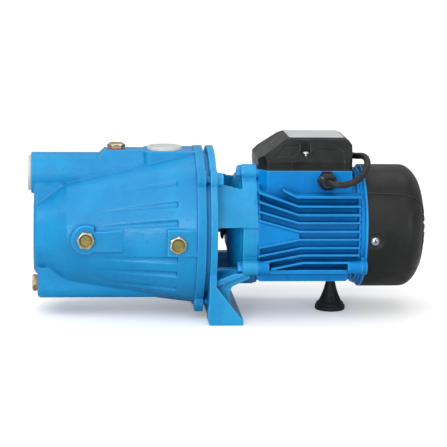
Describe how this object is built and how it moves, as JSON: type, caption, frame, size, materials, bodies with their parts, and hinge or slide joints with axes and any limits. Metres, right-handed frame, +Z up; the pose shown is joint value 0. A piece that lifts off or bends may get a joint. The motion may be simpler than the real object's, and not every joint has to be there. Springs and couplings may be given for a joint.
{
  "type": "shallow well jet pump",
  "caption": "Self-priming electric pump: cast body with built-in ejector, lantern bracket with foot, finned motor, fan cover, terminal box and rear foot.",
  "frame": {"origin": "on the ground plane, at the middle of the line through the two bolt holes of the front foot", "axes": "+Z up; X along the shaft, +X toward the fan end and -X toward the suction port; -Y is the side with the cable gland; shaft axis at Z = 95 mm"},
  "size_m": [0.4315, 0.1814, 0.1966],
  "materials": {
    "cast_paint": "sky-blue enamel over rough cast iron, semi-gloss",
    "motor_paint": "deeper blue enamel over die-cast aluminium, semi-gloss",
    "black_plastic": "fine-grained charcoal moulding",
    "cap_plastic": "translucent white polyethylene",
    "zinc_brass": "yellow-passivated, machined chamfers",
    "red_fibre": "red vulcanised fibre",
    "screw_steel": "zinc-plated",
    "shaft_steel": "ground steel",
    "bearing_steel": "polished",
    "impeller_brass": "cast and turned",
    "noryl_plastic": "black engineering plastic",
    "black_rubber": "matte",
    "seal_ceramic": "lapped ceramic",
    "seal_carbon": "carbon ring in a steel cup",
    "spring_steel": "stainless wire",
    "lamination_steel": "stacked laminations",
    "rotor_aluminium": "die-cast",
    "copper_winding": "lacquered copper wire",
    "plate_aluminium": "blank brushed plate",
    "capacitor_white": "moulded can",
    "terminal_plastic": "moulded",
    "core_wires": "insulated cores"
  },
  "bodies": {
    "pump": {"pump_body": "cast_paint", "bracket": "cast_paint", "seal_plate": "cast_paint", "motor_housing": "motor_paint", "rear_end_shield": "motor_paint", "casing_bolts": "cast_paint", "motor_bolts": "motor_paint", "gauge_port_plugs": "zinc_brass", "plug_washers": "red_fibre", "ejector_nozzle": "impeller_brass", "venturi_tube": "noryl_plastic", "diffuser": "noryl_plastic", "casing_seal_ring": "black_rubber", "seal_seat_cup": "black_rubber", "seal_seat": "seal_ceramic", "front_bearing_outer_ring": "bearing_steel", "rear_bearing_outer_ring": "bearing_steel", "wave_washer": "spring_steel", "stator_core": "lamination_steel", "stator_windings": "copper_winding", "rear_shield_screws": "screw_steel", "fan_cover": "black_plastic", "fan_cover_screws": "screw_steel", "terminal_cover": "black_plastic", "terminal_gasket": "black_rubber", "terminal_cover_screws": "screw_steel", "nameplate": "plate_aluminium", "capacitor": "capacitor_white", "capacitor_clip": "spring_steel", "terminal_block": "terminal_plastic", "terminal_block_screws": "screw_steel", "cable_gland_body": "black_plastic", "cable_gland_nut": "black_plastic", "power_cord": "black_rubber", "cord_cores": "core_wires", "rear_foot": "black_plastic", "rear_foot_screw": "screw_steel"},
    "rotor": {"shaft": "shaft_steel", "impeller": "impeller_brass", "impeller_key": "shaft_steel", "impeller_nut": "screw_steel", "seal_head": "seal_carbon", "seal_spring": "spring_steel", "water_slinger": "black_rubber", "front_bearing_inner_ring": "bearing_steel", "rear_bearing_inner_ring": "bearing_steel", "rotor_core": "lamination_steel", "rotor_end_rings": "rotor_aluminium", "cooling_fan": "black_plastic", "fan_circlip": "spring_steel"},
    "front_ball_set": {"front_bearing_balls": "bearing_steel", "front_bearing_cage": "noryl_plastic"},
    "rear_ball_set": {"rear_bearing_balls": "bearing_steel", "rear_bearing_cage": "noryl_plastic"},
    "suction_cap": {"suction_port_cap": "cap_plastic"},
    "discharge_cap": {"discharge_port_cap": "cap_plastic"},
    "priming_plug": {"priming_plug": "zinc_brass"},
    "drain_plug": {"drain_plug": "zinc_brass"}
  },
  "joints": [
    {"name": "rotor_spin", "type": "hinge", "parent": "pump", "child": "rotor", "pos_m": [0, 0, 0.095], "axis": [1, 0, 0], "continuous": true},
    {"name": "front_balls_orbit", "type": "hinge", "parent": "pump", "child": "front_ball_set", "pos_m": [0.018, 0, 0.095], "axis": [1, 0, 0], "continuous": true},
    {"name": "rear_balls_orbit", "type": "hinge", "parent": "pump", "child": "rear_ball_set", "pos_m": [0.1445, 0, 0.095], "axis": [1, 0, 0], "continuous": true},
    {"name": "suction_cap_pull", "type": "slide", "parent": "pump", "child": "suction_cap", "axis": [-1, 0, 0], "range_m": [0, 0.06]},
    {"name": "discharge_cap_pull", "type": "slide", "parent": "pump", "child": "discharge_cap", "axis": [0, 0, 1], "range_m": [0, 0.06]},
    {"name": "priming_plug_out", "type": "slide", "parent": "pump", "child": "priming_plug", "axis": [0, 0, 1], "range_m": [0, 0.04]},
    {"name": "drain_plug_out", "type": "slide", "parent": "pump", "child": "drain_plug", "axis": [-1, 0, 0], "range_m": [0, 0.04]}
  ],
  "couplings": [
    {"joint": "front_balls_orbit", "follows": "rotor_spin", "ratio": 0.3821},
    {"joint": "rear_balls_orbit", "follows": "rotor_spin", "ratio": 0.3816}
  ]
}
